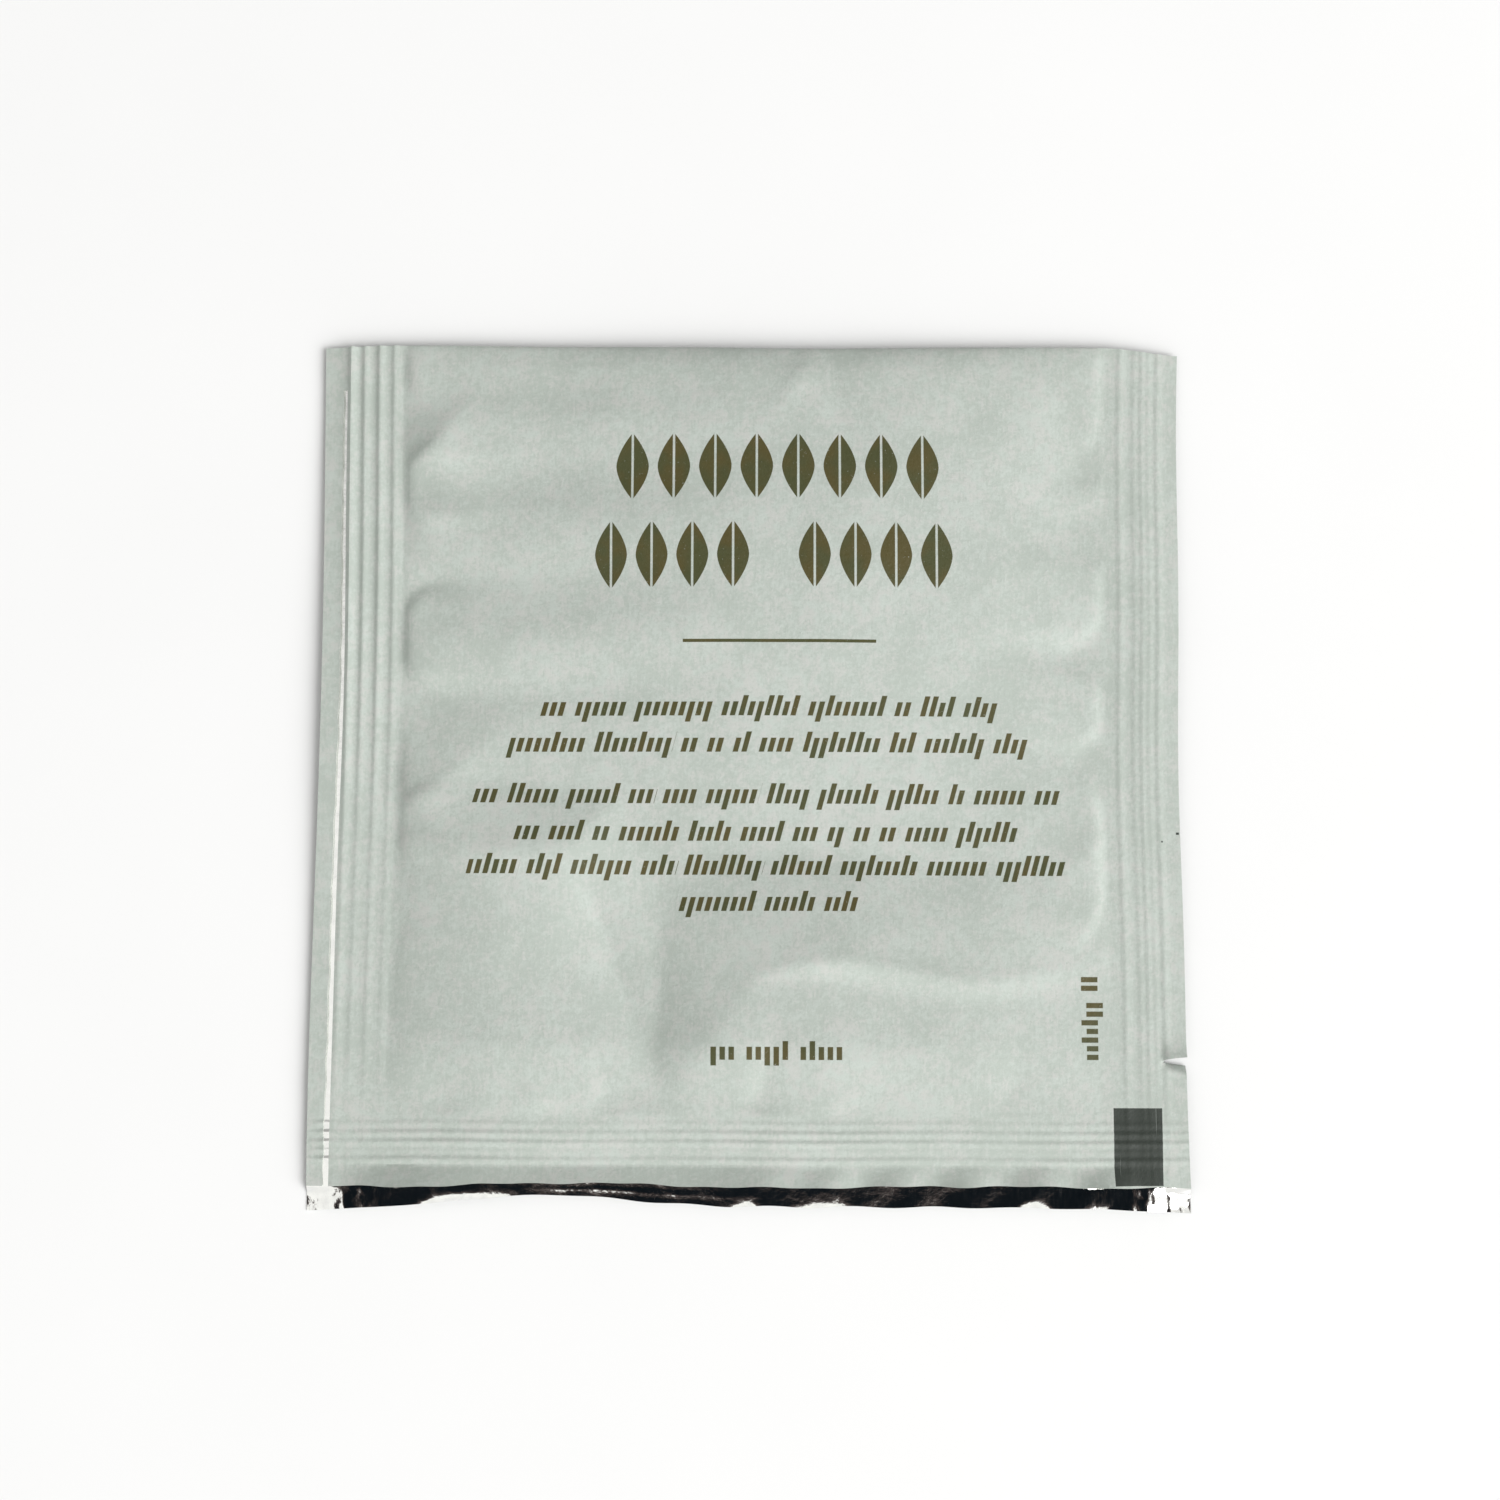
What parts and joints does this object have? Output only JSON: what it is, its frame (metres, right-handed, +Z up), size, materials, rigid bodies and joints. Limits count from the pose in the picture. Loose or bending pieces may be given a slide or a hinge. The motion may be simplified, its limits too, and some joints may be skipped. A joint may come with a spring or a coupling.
{
  "type": "sealed tea bag sachet",
  "caption": "Flat square paper and foil envelope, folded at the top, heat-sealed on the other three sides and padded by the tea bag sealed inside.",
  "frame": {"origin": "middle of the bounding box, on the table that the sachet lies on", "axes": "+Z up out of the printed front, +Y towards the folded top edge, +X towards the seal with the tear notch"},
  "size_m": [0.075, 0.075, 0.0037],
  "materials": {
    "laminate": "matte pale grey-green paper outside, bright aluminium foil inside, which shows on the bottom lip and in the slit by the left edge"
  },
  "bodies": {
    "root": {"sachet": "laminate"}
  },
  "joints": []
}
